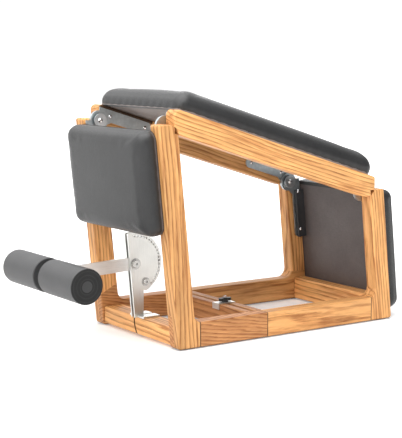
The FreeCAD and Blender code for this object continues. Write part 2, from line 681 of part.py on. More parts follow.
def make_bracket():
    """Two perforated plates with feet on the front cross rail, spaced for the lever."""
    px, pz = PIVOT
    face = bracket_outline()
    inner = BRACKET_SPACE / 2
    foot_z = FRONT_CROSS_Z[1]
    holes = [cylinder_y(px, pz, PIVOT_R + HINGE_RUN, -FAR, FAR),
             cylinder_y(*CLAMP_BOLT, CLAMP_BOLT_R, -FAR, FAR)]
    count = round((HOLE_SPAN[1] - HOLE_SPAN[0]) / HOLE_STEP)
    for i in range(1, count):
        angle = math.radians(HOLE_SPAN[0] + LEVER_DROOP + i * HOLE_STEP)
        x, z = px + HOLE_RING_R * math.cos(angle), pz + HOLE_RING_R * math.sin(angle)
        holes.append(cylinder_y(x, z, HOLE_R, -FAR, FAR))
    screws = []
    for name, side in SIDES.items():
        plate = face.copy()
        plate.translate(Vector(0, min(side * inner, side * PLATE_FACE), 0))
        plate = cut_all(plate.extrude(Vector(0, BRACKET_PLATE, 0)), holes)
        foot = box(0, FOOT_LENGTH, side * inner, side * (inner + FOOT_WIDTH), foot_z,
                   foot_z + BRACKET_PLATE)
        foot = round_edges_along(foot, Z_AXIS, FOOT_CORNER_R)
        screw_y = side * (PLATE_FACE + FOOT_SCREW_OUT)
        screws += [countersunk(Vector(x, screw_y, foot_z + BRACKET_PLATE), FOOT_SCREW_LENGTH)
                   for x in FOOT_SCREW_X]
        save("bracket_plate_" + name, cut_all(plate.fuse(foot).removeSplitter(), screws))
    nodes["front_cross_rail"] = cut_all(nodes["front_cross_rail"], screws)
    save("bracket_screws", screws)
    spacer = cylinder_y(*CLAMP_BOLT, SPACER_R, -inner, inner)
    save("bracket_spacer", spacer.cut(cylinder_y(*CLAMP_BOLT, CLAMP_BOLT_R, -FAR, FAR)))
    save("clamp_bolt", flanged_bolt(*CLAMP_BOLT, CLAMP_BOLT_R, PLATE_FACE, PLATE_FACE))


def button_end(x, z, radius, face, side):
    """Washer and rounded button head that stand on a Y face."""
    washer_face = face + side * WASHER[1]
    head_face = washer_face + side * BOLT_HEAD[1]
    washer = cylinder_y(x, z, radius + WASHER[0], face, washer_face)
    head = cylinder_y(x, z, radius + BOLT_HEAD[0], washer_face, head_face)
    rim = [edge for edge in head.Edges if abs(edge.BoundBox.Center.y - head_face) < 1e-3]
    return washer.fuse(head.makeFillet(HEAD_EDGE_R, rim))


def flanged_bolt(x, z, radius, left_face, right_face):
    """Button-head bolt with a washer at both ends and a hexagon socket in the left head."""
    body = cylinder_y(x, z, radius, -left_face, right_face)
    body = body.fuse([button_end(x, z, radius, -left_face, -1), button_end(x, z, radius, right_face, 1)])
    size, depth = SOCKET
    end = body.BoundBox.YMin
    corners = [(x + size * math.cos(i * math.pi / 3), z + size * math.sin(i * math.pi / 3), 0)
               for i in range(6)]
    return body.cut(slab(corners, end - 1, end + depth)).removeSplitter()


def lever_point(distance, offset=0.0):
    """Point on the lever's centre line, forwards from the pivot, with an offset upwards."""
    droop = math.radians(LEVER_DROOP)
    x = PIVOT[0] - distance * math.cos(droop) - offset * math.sin(droop)
    z = PIVOT[1] - distance * math.sin(droop) + offset * math.cos(droop)
    return x, z


def lever_strip(start, end, half_width, y0, y1, radius):
    """Flat bar along the lever's centre line with rounded ends."""
    corners = [(*lever_point(start, -half_width), radius), (*lever_point(end, -half_width), radius),
               (*lever_point(end, half_width), radius), (*lever_point(start, half_width), radius)]
    return slab(corners, y0, y1)


def make_lever():
    """Lever bar and index arm on their pivot bolt, with the index pin drawn out of the holes."""
    half = LEVER_THICK / 2
    pivot_hole = cylinder_y(*PIVOT, PIVOT_R, -FAR, FAR)
    pin = lever_point(-HOLE_RING_R)
    pin_hole = cylinder_y(*pin, HOLE_R, -FAR, FAR)
    axle_hole = cylinder_y(*lever_point(LEVER_LENGTH), AXLE_R, -FAR, FAR)
    bar = lever_strip(-LEVER_TAIL, LEVER_LENGTH + LEVER_WIDTH / 2, LEVER_WIDTH / 2, -half, half,
                      LEVER_WIDTH / 2 - 0.5)
    save("lever_arm", cut_all(bar, [axle_hole, pivot_hole, pin_hole]))

    past_tail, past_pivot, end_r = INDEX_ARM
    arm_face = PLATE_FACE + ARM_GAP
    arm_back = arm_face + INDEX_ARM_THICK
    arm = lever_strip(-LEVER_TAIL - past_tail, past_pivot, past_pivot, arm_face, arm_back, end_r)
    save("index_arm", cut_all(arm, [pivot_hole, pin_hole]))
    save("pivot_bolt", flanged_bolt(*PIVOT, PIVOT_R, PLATE_FACE + TURN_GAP, arm_back))

    housing_r, housing_length = HOUSING
    housing_end = arm_back + housing_length
    save("index_housing", cylinder_y(*pin, housing_r, arm_back, housing_end).cut(pin_hole))
    knob_r, knob_length = INDEX_KNOB
    pin_start = arm_face + PIN_DRAWN
    knob_y = housing_end + INDEX_TRAVEL + PIN_DRAWN
    core = cylinder_y(*pin, INDEX_PIN_R, pin_start, knob_y + knob_length / 2)
    save("index_pin", core)
    knob = cylinder_y(*pin, knob_r, knob_y, knob_y + knob_length)
    rims = [edge for edge in knob.Edges if edge.Curve.TypeId == "Part::GeomCircle"]
    save("index_knob", knob.makeFillet(INDEX_KNOB_EDGE_R, rims).cut(core))


def make_axle():
    """Axle through the lever's end, with collars beside the lever and clips in grooves."""
    end = lever_point(LEVER_LENGTH)
    axle_end = ROLLER_SPAN - PLUG_THICK - AXLE_END_GAP
    axle = cylinder_y(*end, AXLE_R, -axle_end, axle_end)
    clip_r, clip_thick = CLIP
    clip_y = axle_end - CLIP_FROM_END
    collars, clips = [], []
    for side in SIDES.values():
        span = side * clip_y, side * (clip_y + clip_thick)
        core = cylinder_y(*end, AXLE_R - 1, *span)
        axle = axle.cut(cylinder_y(*end, AXLE_R + 1, *span).cut(core))
        clips.append(cylinder_y(*end, clip_r, *span).cut(core))
        collar = cylinder_y(*end, COLLAR_R, side * LEVER_THICK / 2, side * (ROLLER_START - TURN_GAP))
        collars.append(collar.cut(cylinder_y(*end, AXLE_R, -FAR, FAR)))
    save("roller_axle", axle)
    save("axle_collars", collars)
    save("axle_clips", clips)


def make_roller(name, side):
    """Foam roller with an inner sleeve and an end plug."""
    x, z = lever_point(LEVER_LENGTH)
    sleeve_end = ROLLER_SPAN - PLUG_THICK - PLUG_BAY
    foam = cylinder_y(x, z, ROLLER_R, side * ROLLER_START, side * ROLLER_SPAN)
    outer_rims = [e for e in foam.Edges if e.Curve.TypeId == "Part::GeomCircle"]
    foam = foam.makeFillet(ROLLER_EDGE_R, outer_rims)
    foam = foam.cut(cylinder_y(x, z, SLEEVE_R, -FAR, FAR))
    save("roller_foam_" + name, foam)
    sleeve = cylinder_y(x, z, SLEEVE_R, side * ROLLER_START, side * sleeve_end)
    save("roller_sleeve_" + name, sleeve.cut(cylinder_y(x, z, AXLE_R + HINGE_RUN, -FAR, FAR)))
    plug = cylinder_y(x, z, SLEEVE_R, side * (ROLLER_SPAN - PLUG_THICK), side * ROLLER_SPAN)
    save("roller_plug_" + name, plug)


# ---- clamp that ties the two middle strips together ----
def make_strip_clamp():
    """Clamp plate with a hooked front tongue, a bolt through the gap and a wing knob."""
    front_x, rear_x = STRIP_X["front"][0], STRIP_X["rear"][1]
    gap_x = (STRIP_X["front"][1] + STRIP_X["rear"][0]) / 2
    low_y, high_y = STRIP_CLAMP_Y - STRIP_CLAMP_HALF_WIDTH, STRIP_CLAMP_Y + STRIP_CLAMP_HALF_WIDTH
    top_z = BASE_HEIGHT + STRIP_CLAMP_THICK
    inset, foot_half, foot_thick = STRIP_FOOT

    def upright(x, radius, z0, z1):
        return Part.makeCylinder(radius, z1 - z0, Vector(x, STRIP_CLAMP_Y, z0), Z_AXIS)

    tongue_x = front_x - STRIP_CLAMP_THICK
    plate = box(tongue_x, rear_x - inset, low_y, high_y, BASE_HEIGHT, top_z)
    tongue = box(tongue_x, front_x, low_y, high_y, BASE_HEIGHT - STRIP_CLAMP_TONGUE, top_z)
    plate = plate.fuse(tongue).removeSplitter()
    rod = upright(gap_x, STRIP_BOLT_R, STRIP_LIFT, top_z + STRIP_BOLT_OUT)
    save("clamp_plate", plate.cut(rod))
    foot = box(front_x + inset, rear_x - inset, STRIP_CLAMP_Y - foot_half, STRIP_CLAMP_Y + foot_half,
               STRIP_LIFT - foot_thick, STRIP_LIFT)
    save("clamp_t_bolt", rod.fuse(foot).removeSplitter())
    hub_r, hub_height = KNOB_HUB
    lobe_r, lobe_height, lobe_out = KNOB_LOBE
    hub = upright(gap_x, hub_r, top_z + TURN_GAP, top_z + hub_height)
    lobe_z = top_z + KNOB_LOBE_LIFT
    lobes = [upright(gap_x + way * lobe_out, lobe_r, lobe_z, lobe_z + lobe_height)
             for way in (-1, 1)]
    bore = upright(gap_x, STRIP_BOLT_R + HINGE_RUN, 0, FAR)
    save("clamp_knob", hub.fuse(lobes).cut(bore).removeSplitter())


def build():
    """Make every node in drawing coordinates."""
    frame_dowels = []
    for name, side in SIDES.items():
        frame_dowels += make_side(name, side)
    cross_dowels = make_cross_members()
    drill_wood(cross_dowels)
    save("frame_dowels", frame_dowels + cross_dowels)
    make_glides()
    make_top()
    flap_bolts = make_hinges()
    make_flap("front_flap", FRONT_HINGE, REARWARD * -1, FRONT_FLAP_LENGTH, flap_bolts["front"])
    make_flap("rear_flap", REAR_HINGE, REARWARD, REAR_FLAP_LENGTH, flap_bolts["rear"])
    make_bracket()
    make_lever()
    make_axle()
    for name, side in SIDES.items():
        make_roller(name, side)
    make_strip_clamp()


build()
whole = Part.makeCompound(list(nodes.values())).optimalBoundingBox(False, False)
shift = Vector(-(whole.XMin + whole.XMax) / 2, 0, -whole.ZMin)
for node_name, node_shape in nodes.items():
    node_shape.translate(shift)
    node_shape.exportStep("parts/" + node_name + ".step")
print("nodes", len(nodes), "shift", shift.x, shift.z)
print("size", whole.XLength, whole.YLength, whole.ZLength)
for label, point in (("front hinge", FRONT_HINGE), ("rear hinge", REAR_HINGE)):
    print(label, point + shift)
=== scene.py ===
import json
import math

import bmesh
import bpy
from mathutils import Matrix, Vector


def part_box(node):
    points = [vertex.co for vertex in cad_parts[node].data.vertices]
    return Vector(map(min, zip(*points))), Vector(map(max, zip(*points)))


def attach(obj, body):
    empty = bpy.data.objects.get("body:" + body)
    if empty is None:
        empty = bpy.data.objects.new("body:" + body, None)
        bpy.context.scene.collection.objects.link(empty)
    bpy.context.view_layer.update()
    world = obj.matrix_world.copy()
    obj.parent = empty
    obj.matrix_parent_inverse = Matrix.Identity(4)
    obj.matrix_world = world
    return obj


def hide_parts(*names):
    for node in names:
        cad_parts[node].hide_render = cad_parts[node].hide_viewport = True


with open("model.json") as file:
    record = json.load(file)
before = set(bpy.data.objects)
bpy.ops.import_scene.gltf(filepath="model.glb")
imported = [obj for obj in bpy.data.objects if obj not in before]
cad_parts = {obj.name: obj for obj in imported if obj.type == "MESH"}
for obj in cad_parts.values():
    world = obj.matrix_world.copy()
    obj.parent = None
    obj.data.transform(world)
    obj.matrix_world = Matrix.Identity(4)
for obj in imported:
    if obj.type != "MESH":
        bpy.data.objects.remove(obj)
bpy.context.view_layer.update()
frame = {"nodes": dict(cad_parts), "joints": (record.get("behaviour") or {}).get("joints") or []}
nodes = frame["nodes"]
joints = {joint["name"]: joint for joint in frame["joints"]}
MM = 0.001

# ---- directions and planes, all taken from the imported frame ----
FRONT_AXIS = Vector(joints["front_flap_hinge"]["pos_m"])
REAR_AXIS = Vector(joints["rear_flap_hinge"]["pos_m"])
DOWN_SLOPE = (REAR_AXIS - FRONT_AXIS).normalized()
UP_FROM_SLOPE = Vector((-DOWN_SLOPE.z, 0, DOWN_SLOPE.x))
FOLD_ANGLE = math.radians(joints["rear_flap_hinge"]["range_deg"][1])
DOWN_POST = Matrix.Rotation(FOLD_ANGLE, 3, "Y") @ DOWN_SLOPE
REARWARD = Vector((-DOWN_POST.z, 0, DOWN_POST.x))
ALONG_X = Vector((1, 0, 0))
ALONG_Y = Vector((0, 1, 0))
UPWARD = Vector((0, 0, 1))
FRONT_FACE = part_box("front_cross_rail")[0].x      # front face of the front cross rail
TOE_X = (62.0 * MM, 639.0 * MM)                   # ends of the posts' toes, from that face
RAIL_JOINT_X = 276.0 * MM                         # joint between the two lengths of a base rail
KERF = (-3.0 * MM, 0.5227, -8.887)                # start, slope and bend of the kerf's line

# ---- dark seams of the timber and painted shade on it: pairs are the distances between which a mask fades ----
# painted shade in the gap between the hinge arms and the board, on the top rails' inner faces
HINGE_SHADE_UP = (36 * MM, 60 * MM)                 # above the flap axes, square to the top
HINGE_SHADE_ALONG = (-60 * MM, 170 * MM)            # from the front axis down the slope
INNER_FACE = (169.5 * MM, 170.5 * MM)             # from the middle plane, as are the next two
CROSS_PIECE_END = (166.4 * MM, 167.2 * MM)
OUTER_HALF = (188.5 * MM, 189.5 * MM)
BUTT_SEAM = (0.9 * MM, 1.8 * MM)                  # from the joint's plane
BASE_RAIL_TOP = (69 * MM, 71 * MM)                # above the floor
FLOOR_SHADE_BAND = (3.0 * MM, 6.5 * MM)                 # above the floor; a painted contact shadow along the bottom edges
# strength of the painted contact shadow, then of the seams and the painted hinge shade
FLOOR_SHADE_SHARE, SEAM_AND_SHADE_SHARE = 0.85, 0.93
# colour of the dark seams and of all painted shade on the timber
SEAM_AND_SHADE_COLOUR = (0.022, 0.012, 0.008)


# ---- small node-tree helper ----
class Shader:
    """Builds one material from short calls; every call returns an output socket."""

    def __init__(self, name):
        self.material = bpy.data.materials.new(name)
        self.material.use_nodes = True
        self.tree = self.material.node_tree
        self.base = self.tree.nodes["Principled BSDF"]
        self.place = self.node("TexCoord").outputs["Object"]

    def node(self, kind, **settings):
        made = self.tree.nodes.new("ShaderNode" + kind)
        for key, value in settings.items():
            setattr(made, key, value)
        return made

    def link(self, source, socket):
        if isinstance(source, bpy.types.NodeSocket):
            self.tree.links.new(source, socket)
        else:
            socket.default_value = source

    def math(self, operation, *values, clamp=False):
        made = self.node("Math", operation=operation, use_clamp=clamp)
        for value, socket in zip(values, made.inputs):
            self.link(value, socket)
        return made.outputs[0]

    def dot(self, direction, offset=0.0):
        made = self.node("VectorMath", operation="DOT_PRODUCT")
        self.link(self.place, made.inputs[0])
        made.inputs[1].default_value = direction
        return self.math("ADD", made.outputs["Value"], offset)

    def vector(self, x, y, z):
        made = self.node("CombineXYZ")
        for value, socket in zip((x, y, z), made.inputs):
            self.link(value, socket)
        return made.outputs[0]

    def scaled(self, vector, factors):
        made = self.node("VectorMath", operation="MULTIPLY")
        self.link(vector, made.inputs[0])
        made.inputs[1].default_value = factors
        return made.outputs[0]

    def noise(self, vector, scale, detail=3.0, rough=0.55):
        made = self.node("TexNoise")
        self.link(vector, made.inputs["Vector"])
        made.inputs["Scale"].default_value = scale
        made.inputs["Detail"].default_value = detail
        made.inputs["Roughness"].default_value = rough
        return made.outputs["Fac"]

    def cells(self, vector, scale, feature="F1", smooth=0.4):
        made = self.node("TexVoronoi", feature=feature)
        self.link(vector, made.inputs["Vector"])
        made.inputs["Scale"].default_value = scale
        if feature == "SMOOTH_F1":
            made.inputs["Smoothness"].default_value = smooth
        return made.outputs["Distance"]

    def range(self, value, low, high, new_low, new_high):
        made = self.node("MapRange")
        for entry, socket in zip((value, low, high, new_low, new_high), made.inputs):
            self.link(entry, socket)
        return made.outputs[0]

    def ramp(self, value, stops):
        made = self.node("ValToRGB")
        self.link(value, made.inputs["Fac"])
        band = made.color_ramp
        while len(band.elements) < len(stops):
            band.elements.new(0.5)
        for element, (position, colour) in zip(band.elements, stops):
            element.position = position
            element.color = (*colour, 1.0)
        return made.outputs["Color"]

    def mix(self, factor, first, second, blend="MIX"):
        made = self.node("Mix", data_type="RGBA", blend_type=blend)
        self.link(factor, made.inputs["Factor"])
        for entry, socket in ((first, made.inputs[6]), (second, made.inputs[7])):
            self.link((*entry, 1.0) if isinstance(entry, tuple) else entry, socket)
        return made.outputs[2]

    def bump(self, height, distance, strength=1.0, normal=None):
        made = self.node("Bump")
        made.inputs["Distance"].default_value = distance
        made.inputs["Strength"].default_value = strength
        self.link(height, made.inputs["Height"])
        if normal is not None:
            self.link(normal, made.inputs["Normal"])
        return made.outputs[0]

    def edges(self, radius):
        """1 on edges, 0 on open faces; the radius sets how wide the edge reads."""
        bevel = self.node("Bevel", samples=6)
        bevel.inputs["Radius"].default_value = radius
        true_normal = self.node("NewGeometry").outputs["Normal"]
        made = self.node("VectorMath", operation="DOT_PRODUCT")
        self.link(bevel.outputs[0], made.inputs[0])
        self.link(true_normal, made.inputs[1])
        return self.range(made.outputs["Value"], 0.995, 0.85, 0.0, 1.0)

    def finish(self, **sockets):
        for name, value in sockets.items():
            self.link(value, self.base.inputs[name.replace("_", " ")])
        return self.material


# ---- materials ----
# each wood: pale early wood, middle tone and dark late wood
LIGHT_WOOD = ((0.82, 0.440, 0.170), (0.72, 0.360, 0.125), (0.34, 0.125, 0.034))
WARM_WOOD = ((0.62, 0.300, 0.115), (0.52, 0.230, 0.080), (0.28, 0.098, 0.030))


def wood(name, grain, heart, tones=LIGHT_WOOD, ring=0.0085, tilt=0.0, shade=1.0, seam_and_shade_mask=None):
    """Oiled ring-porous timber: growth rings round a heart line, fibres, pores and worn edges,
    plus painted shade: a darker band along the floor standing in for a contact shadow.
    grain is the board's length and heart is where the heart line passes, square to the grain.
    ring is the ring spacing in metres, tilt how fast the heart line leaves the board, shade a
    brightness factor, partly the board's own tone and partly painted light and shade set per piece,
    and the last argument a function that makes the mask of dark seams and of painted shade."""
    s = Shader(name)
    side = grain.cross(ALONG_Y if abs(grain.y) < 0.9 else ALONG_X).normalized()
    other = grain.cross(side).normalized()
    u, v, w = s.dot(grain), s.dot(side, -heart[0]), s.dot(other, -heart[1])
    slow = s.vector(s.math("MULTIPLY", u, 0.22), v, w)
    sway = s.math("SUBTRACT", s.noise(slow, 7.0, 2.0), 0.5)
    sway_too = s.math("SUBTRACT", s.noise(s.scaled(slow, (1.0, 1.3, 0.9)), 11.0, 2.0), 0.5)
    lean = s.math("MULTIPLY", u, tilt)
    v_bent = s.math("ADD", s.math("MULTIPLY_ADD", sway, 0.05, v), lean)
    w_bent = s.math("MULTIPLY_ADD", sway_too, 0.035, w)
    squared = s.math("ADD", s.math("MULTIPLY", v_bent, v_bent), s.math("MULTIPLY", w_bent, w_bent))
    radius = s.math("SQRT", squared)
    fine = s.noise(s.vector(s.math("MULTIPLY", u, 0.05), v, w), 900.0, 2.0)
    streak = s.noise(s.vector(s.math("MULTIPLY", u, 0.035), v, w), 230.0, 3.0, 0.6)
    rings = s.math("MULTIPLY_ADD", streak, 0.75, s.math("DIVIDE", radius, ring))
    phase = s.math("FRACT", rings)
    pale, middle, dark = tones
    late = s.range(s.noise(s.vector(s.math("MULTIPLY", u, 0.3), v, w), 60.0, 2.0), 0.3, 0.65, 0.4, 1.0)
    band = s.ramp(phase, [(0.0, middle), (0.06, pale), (0.60, middle), (0.80, dark), (0.90, dark),
                          (0.96, middle)])
    colour = s.mix(late, middle, band)
    flow = s.noise(s.vector(s.math("MULTIPLY", u, 0.07), v_bent, w_bent), 85.0, 3.0, 0.6)
    colour = s.mix(s.range(flow, 0.50, 0.68, 0.0, 0.75), colour, tuple(1.15 * c for c in dark))
    broad = s.range(s.noise(slow, 26.0, 3.0), 0.3, 0.7, 0.84, 1.16)
    fibre = s.range(fine, 0.3, 0.7, 0.90, 1.08)
    # shade scales the whole piece's brightness: partly the board's own tone, partly painted light and
    # shade
    value = s.math("MULTIPLY", s.math("MULTIPLY", broad, fibre), shade)
    colour = s.mix(1.0, colour, s.vector(value, value, value), "MULTIPLY")
    pore_noise = s.noise(s.vector(s.math("MULTIPLY", u, 0.035), v, w), 1500.0, 1.0)
    pores = s.math("MULTIPLY", s.range(pore_noise, 0.60, 0.72, 0.0, 1.0),
                   s.range(phase, 0.45, 0.85, 0.15, 1.0))
    colour = s.mix(s.math("MULTIPLY", pores, 0.55), colour, tuple(0.5 * c for c in dark))
    # darker band just above the floor: a painted contact shadow
    seam_and_shade = s.range(s.dot(UPWARD), *FLOOR_SHADE_BAND, FLOOR_SHADE_SHARE, 0.0)
    # the mask adds dark joints and, on the top rails, painted shade under the hinge arms
    if seam_and_shade_mask is not None:
        seam_and_shade = s.math("MAXIMUM", seam_and_shade, s.math("MULTIPLY", seam_and_shade_mask(s), SEAM_AND_SHADE_SHARE))
    colour = s.mix(seam_and_shade, colour, SEAM_AND_SHADE_COLOUR)
    worn = s.math("MULTIPLY", s.edges(0.0022), s.range(s.noise(s.place, 60.0), 0.35, 0.7, 0.0, 0.5))
    colour = s.mix(worn, colour, tuple(min(1.0, 1.12 * c) for c in pale))
    rough = s.range(s.math("ADD", phase, s.math("MULTIPLY", pores, 0.6)), 0.0, 1.4, 0.42, 0.58)
    height = s.math("SUBTRACT", s.math("MULTIPLY", phase, 0.35), s.math("MULTIPLY", pores, 0.8))
    height = s.math("MULTIPLY_ADD", fine, 0.35, height)
    s.base.inputs["Specular IOR Level"].default_value = 0.32
    return s.finish(Base_Color=colour, Roughness=rough, Normal=s.bump(height, 0.0004, 0.6))


def between(s, value, low, high, soft=0.6 * MM):
    """1 where a value lies between two limits, 0 elsewhere."""
    rise = s.range(value, low - soft, low + soft, 0.0, 1.0)
    fall = s.range(value, high - soft, high + soft, 1.0, 0.0)
    return s.math("MULTIPLY", rise, fall)


def hinge_painted_shade(s):
    """Painted shade: a dark line where shadow falls between a rail arm and the board, on the inner faces
    of a top rail.
    """
    up = between(s, s.dot(UP_FROM_SLOPE, -FRONT_AXIS.dot(UP_FROM_SLOPE)), *HINGE_SHADE_UP)
    along = between(s, s.dot(DOWN_SLOPE, -FRONT_AXIS.dot(DOWN_SLOPE)), *HINGE_SHADE_ALONG)
    inside = s.range(s.math("ABSOLUTE", s.dot(ALONG_Y)), *INNER_FACE, 1.0, 0.0)
    return s.math("MULTIPLY", s.math("MULTIPLY", inside, up), along)


def kerf_and_ends(s):
    """Dark curved kerf of the front cross rail, and dark seams at the rail's ends."""
    start, slope, bend = KERF
    up = s.dot(UPWARD, -6.0 * MM)
    bent = s.math("MULTIPLY", s.math("MULTIPLY", up, s.math("SUBTRACT", up, 22.0 * MM)), bend)
    line = s.math("ADD", s.math("MULTIPLY_ADD", up, slope, start), bent)
    away = s.math("ABSOLUTE", s.math("SUBTRACT", s.dot(ALONG_Y), line))
    inside = between(s, s.dot(ALONG_X, -FRONT_FACE), -5 * MM, 33 * MM)
    kerf = s.math("MULTIPLY", s.range(away, 3.0 * MM, 3.8 * MM, 1.0, 0.0), inside)
    return s.math("MAXIMUM", kerf, end_seams(s))


def end_seams(s):
    """Dark seam where a cross piece meets the side frames."""
    return s.range(s.math("ABSOLUTE", s.dot(ALONG_Y)), *CROSS_PIECE_END, 0.0, 1.0)


def butt_seams(s):
    """Dark seams at the butt joints of the base rails."""
    lengthwise = s.dot(ALONG_X, -FRONT_FACE)
    outer_half = s.range(s.math("ABSOLUTE", s.dot(ALONG_Y)), *OUTER_HALF, 0.0, 1.0)
    seams = 0.0
    for place, share in ((TOE_X[0], outer_half), (TOE_X[1], outer_half), (RAIL_JOINT_X, 1.0)):
        away = s.math("ABSOLUTE", s.math("SUBTRACT", lengthwise, place))
        seam = s.math("MULTIPLY", s.range(away, *BUTT_SEAM, 1.0, 0.0), share)
        seams = s.math("MAXIMUM", seams, seam)
    return s.math("MULTIPLY", seams, s.range(s.dot(UPWARD), *BASE_RAIL_TOP, 1.0, 0.0))


def leather(name, tone=0.018, pebble=760.0):
    """Black upholstery leather with a pebble grain, faint creases and rubbed high spots."""
    s = Shader(name)
    warp = s.node("VectorMath", operation="MULTIPLY_ADD")
    soft = s.node("TexNoise")
    s.link(s.place, soft.inputs["Vector"])
    soft.inputs["Scale"].default_value = 90.0
    s.link(soft.outputs["Color"], warp.inputs[0])
    warp.inputs[1].default_value = (0.004, 0.004, 0.004)
    s.link(s.place, warp.inputs[2])
    bent = warp.outputs[0]
    grain = s.cells(bent, pebble, "SMOOTH_F1", 0.35)
    small = s.cells(bent, pebble * 2.3, "SMOOTH_F1", 0.3)
    crease = s.math("ABSOLUTE", s.math("SUBTRACT", s.noise(bent, 26.0, 4.0, 0.6), 0.5))
    crease = s.range(crease, 0.0, 0.035, 1.0, 0.0)
    mottled = s.range(s.noise(s.place, 9.0, 4.0), 0.3, 0.7, 0.82, 1.20)
    top = s.range(grain, 0.15, 0.6, 1.15, 0.75)
    value = s.math("MULTIPLY", s.math("MULTIPLY", mottled, top), tone)
    colour = s.vector(value, s.math("MULTIPLY", value, 1.005), s.math("MULTIPLY", value, 1.03))
    rubbed = s.range(s.noise(s.place, 5.0, 3.0), 0.52, 0.70, 0.0, 0.35)
    colour = s.mix(rubbed, colour, (tone * 1.55, tone * 1.55, tone * 1.6))
    height = s.math("MULTIPLY_ADD", small, 0.35, grain)
    height = s.math("MULTIPLY_ADD", crease, 0.35, height)
    rough = s.range(s.math("ADD", grain, rubbed), 0.1, 0.9, 0.36, 0.52)
    s.base.inputs["Specular IOR Level"].default_value = 0.45
    s.base.inputs["Sheen Weight"].default_value = 0.06
    s.base.inputs["Sheen Roughness"].default_value = 0.45
    height = s.math("MULTIPLY", height, -1.0)
    return s.finish(Base_Color=colour, Roughness=rough, Normal=s.bump(height, 0.00045, 0.55))


def laminate(name, tone):
    """Dark grey-brown board face: fine woven print, broad mottling, slight scuffs."""
    s = Shader(name)
    weave = s.noise(s.scaled(s.place, (1.0, 0.06, 1.0)), 1300.0, 2.0)
    across = s.noise(s.scaled(s.place, (0.06, 1.0, 0.06)), 1300.0, 2.0)
    cloud = s.range(s.noise(s.place, 7.0, 4.0), 0.3, 0.7, 0.88, 1.14)
    value = s.math("MULTIPLY", cloud, s.range(s.math("ADD", weave, across), 0.8, 1.2, 0.88, 1.12))
    colour = s.mix(1.0, tone, s.vector(value, value, value), "MULTIPLY")
    scuff = s.range(s.noise(s.scaled(s.place, (3.0, 1.0, 1.0)), 34.0, 5.0, 0.7), 0.60, 0.72, 0.0, 0.3)
    colour = s.mix(scuff, colour, tuple(1.6 * c for c in tone))
    height = s.math("ADD", weave, across)
    rough = s.range(cloud, 0.88, 1.14, 0.62, 0.50)
    return s.finish(Base_Color=colour, Roughness=rough, Normal=s.bump(height, 0.00025, 0.5))


def metal(name, colour, rough, grain, brush=900.0, patches=0.0, edge_wear_and_shade=0.0,
          rim=(0.85, 0.85, 0.84)):
    """Metal with brushing along one direction, optional crystalline patches and edges in the rim colour:
    lighter as wear, and on the bolts near black as painted shade round the heads.
    """
    s = Shader(name)
    stretch = tuple(0.03 if abs(c) > 0.5 else 1.0 for c in grain)
    lines = s.noise(s.scaled(s.place, stretch), brush, 3.0, 0.6)
    cloud = s.noise(s.place, 16.0, 4.0)
    value = s.math("MULTIPLY", s.range(lines, 0.3, 0.7, 0.93, 1.06), s.range(cloud, 0.3, 0.7, 0.92, 1.06))
    if patches:
        crystal = s.cells(s.place, 95.0)
        value = s.math("MULTIPLY", value, s.range(crystal, 0.0, 0.8, 1.0 + patches, 1.0 - patches))
    shade = s.mix(1.0, colour, s.vector(value, value, value), "MULTIPLY")
    if edge_wear_and_shade:
        # edges take the rim colour: lighter as wear, near black on the bolts as painted shade
        shade = s.mix(s.math("MULTIPLY", s.edges(0.0012), edge_wear_and_shade), shade, rim)
    roughness = s.math("ADD", s.range(lines, 0.3, 0.7, -0.05, 0.07), rough)
    s.base.inputs["Metallic"].default_value = 1.0
    return s.finish(Base_Color=shade, Roughness=roughness, Normal=s.bump(lines, 0.0001, 0.35))


def foam(name, tone, axle, end_y):
    """Leather-covered foam roller: fine grain on the round face, dark bare foam on the ends."""
    s = Shader(name)
    pits = s.cells(s.place, 1300.0)
    cloud = s.noise(s.place, 22.0, 4.0)
    value = s.math("MULTIPLY", s.range(cloud, 0.3, 0.7, 0.88, 1.14), s.range(pits, 0.0, 0.6, 0.85, 1.12))
    value = s.math("MULTIPLY", value, tone)
    skin = s.vector(value, value, s.math("MULTIPLY", value, 1.03))
    out = s.math("ABSOLUTE", s.dot(ALONG_Y))
    end = s.range(out, end_y - 2.2 * MM, end_y - 0.6 * MM, 0.0, 1.0)
    x, z = s.dot(ALONG_X, -axle.x), s.dot(UPWARD, -axle.z)
    radius = s.math("SQRT", s.math("ADD", s.math("MULTIPLY", x, x), s.math("MULTIPLY", z, z)))
    ring = s.math("ABSOLUTE", s.math("SUBTRACT", s.math("FRACT", s.math("DIVIDE", radius, 9.5 * MM)), 0.5))
    ring = s.range(ring, 0.30, 0.5, 0.5, 1.5)
    bare = s.math("MULTIPLY", ring, s.math("MULTIPLY", s.range(cloud, 0.3, 0.7, 0.8, 1.2), tone * 0.30))
    colour = s.mix(end, skin, s.vector(bare, bare, bare))
    height = s.math("MULTIPLY_ADD", s.noise(s.place, 420.0, 2.0), 0.7, pits)
    rough = s.mix(end, (0.46, 0.46, 0.46), (0.85, 0.85, 0.85))
    s.base.inputs["Sheen Weight"].default_value = 0.04
    return s.finish(Base_Color=colour, Roughness=rough, Normal=s.bump(height, 0.0004, 0.4))


def plastic(name, tone, rough):
    """Moulded plastic with a fine spark-eroded texture and lighter handled edges."""
    s = Shader(name)
    texture = s.noise(s.place, 1500.0, 2.0)
    cloud = s.range(s.noise(s.place, 30.0, 3.0), 0.3, 0.7, 0.9, 1.12)
    value = s.math("MULTIPLY", cloud, tone)
    colour = s.mix(s.math("MULTIPLY", s.edges(0.001), 0.35), s.vector(value, value, value),
                   (tone * 3, tone * 3, tone * 3))
    roughness = s.range(texture, 0.3, 0.7, rough - 0.06, rough + 0.08)
    return s.finish(Base_Color=colour, Roughness=roughness, Normal=s.bump(texture, 0.00012, 0.5))


